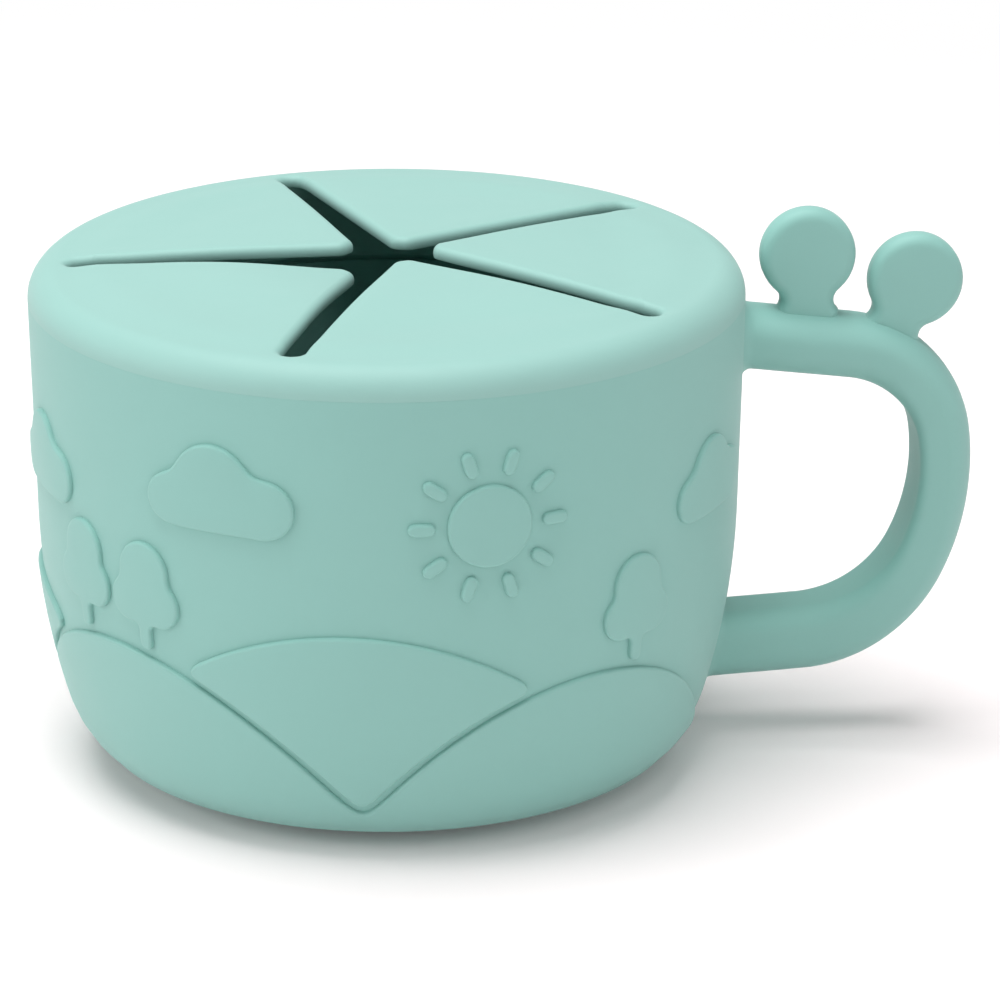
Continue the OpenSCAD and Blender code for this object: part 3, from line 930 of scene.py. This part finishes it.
def build_lid(material):
    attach(piece("lid_top", lid_top(), material, ["lid_ring"]), "lid")
    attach(piece("lid_plug_wall", lid_plug_wall(), material, ["lid_plug"]), "lid")
    for number, (body, rise, bow) in enumerate(zip(FLAPS, TIP_RISES, BOWS), 1):
        obj = piece(f"lid_{body}", flap(body, rise, bow), material, [f"flap_{number}"])
        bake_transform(obj)


# ---- Stage ----


def add_floor():
    """A pale floor, in metres, that keeps the cup's shadow near it and turns plain white further away."""
    half = 2.5
    near, far, near_whiteness = 0.22, 0.4, 0.05
    corners = [(-half, -half, 0), (half, -half, 0), (half, half, 0), (-half, half, 0)]
    mesh = bpy.data.meshes.new("floor")
    mesh.from_pydata(corners, [], [(0, 1, 2, 3)])
    material = bpy.data.materials.new("floor")
    material.use_nodes = True
    shader = material.node_tree.nodes["Principled BSDF"]
    shader.inputs["Base Color"].default_value = (*FLOOR_COLOUR, 1)
    shader.inputs["Roughness"].default_value = 1
    shader.inputs["Specular IOR Level"].default_value = 0
    nodes, links = material.node_tree.nodes, material.node_tree.links
    place = nodes.new("ShaderNodeTexCoord")
    distance = nodes.new("ShaderNodeVectorMath")
    distance.operation = "LENGTH"
    links.new(place.outputs["Object"], distance.inputs[0])
    whiteness = nodes.new("ShaderNodeMapRange")
    whiteness.inputs["From Min"].default_value = near
    whiteness.inputs["From Max"].default_value = far
    whiteness.inputs["To Min"].default_value = near_whiteness
    links.new(distance.outputs["Value"], whiteness.inputs["Value"])
    show_white(material.node_tree, shader, whiteness.outputs["Result"], nodes["Material Output"])
    mesh.materials.append(material)
    floor = bpy.data.objects.new("floor", mesh)
    bpy.context.scene.collection.objects.link(floor)


def add_world():
    world = bpy.data.worlds.new("studio")
    bpy.context.scene.world = world
    world.use_nodes = True
    ambient = world.node_tree.nodes["Background"]
    ambient.inputs["Color"].default_value = (1, 1, 1, 1)
    ambient.inputs["Strength"].default_value = AMBIENT
    show_white(world.node_tree, ambient, 1, world.node_tree.nodes["World Output"])


def add_lamp(name, place, size, power):
    """A square soft lamp, aimed at the middle of the cup."""
    lamp = bpy.data.lights.new(name, "AREA")
    lamp.size = size
    lamp.energy = power
    obj = bpy.data.objects.new(name, lamp)
    obj.location = place
    aim = Vector((0, 0, TOTAL_H / 2 * MM)) - obj.location
    obj.rotation_mode = "QUATERNION"
    obj.rotation_quaternion = aim.to_track_quat("-Z", "Y")
    bpy.context.scene.collection.objects.link(obj)


def add_camera():
    """The photograph's view: from in front, a little to the left, 20 degrees above level."""
    view_turn, elevation, roll = radians(-6), radians(19.83), 0.0026
    distance = 600
    look_at = Matrix.Rotation(view_turn, 3, "Z") @ Vector((14.25, 0, 32.49))
    turn = Matrix.Rotation(view_turn, 3, "Z") @ Matrix.Rotation(pi / 2 - elevation, 3, "X")
    turn = turn @ Matrix.Rotation(roll, 3, "Z")
    camera = bpy.data.cameras.new("camera")
    camera.sensor_width = 36
    camera.lens = 169.19
    obj = bpy.data.objects.new("camera", camera)
    obj.matrix_world = Matrix.Translation((look_at + turn @ Vector((0, 0, distance))) * MM) @ turn.to_4x4()
    bpy.context.scene.collection.objects.link(obj)
    bpy.context.scene.camera = obj


add_camera()
build_cup(silicone("cup_silicone", CUP_COLOUR, 1.0))
# The lid's material takes the paler colour, which is painted sheen from the light on its top
build_lid(silicone("lid_silicone", LID_COLOUR_WITH_PAINTED_SHEEN, 2.0))
add_floor()
add_world()
for lamp in LAMPS:
    add_lamp(*lamp)
bpy.context.scene.view_settings.view_transform = "Standard"
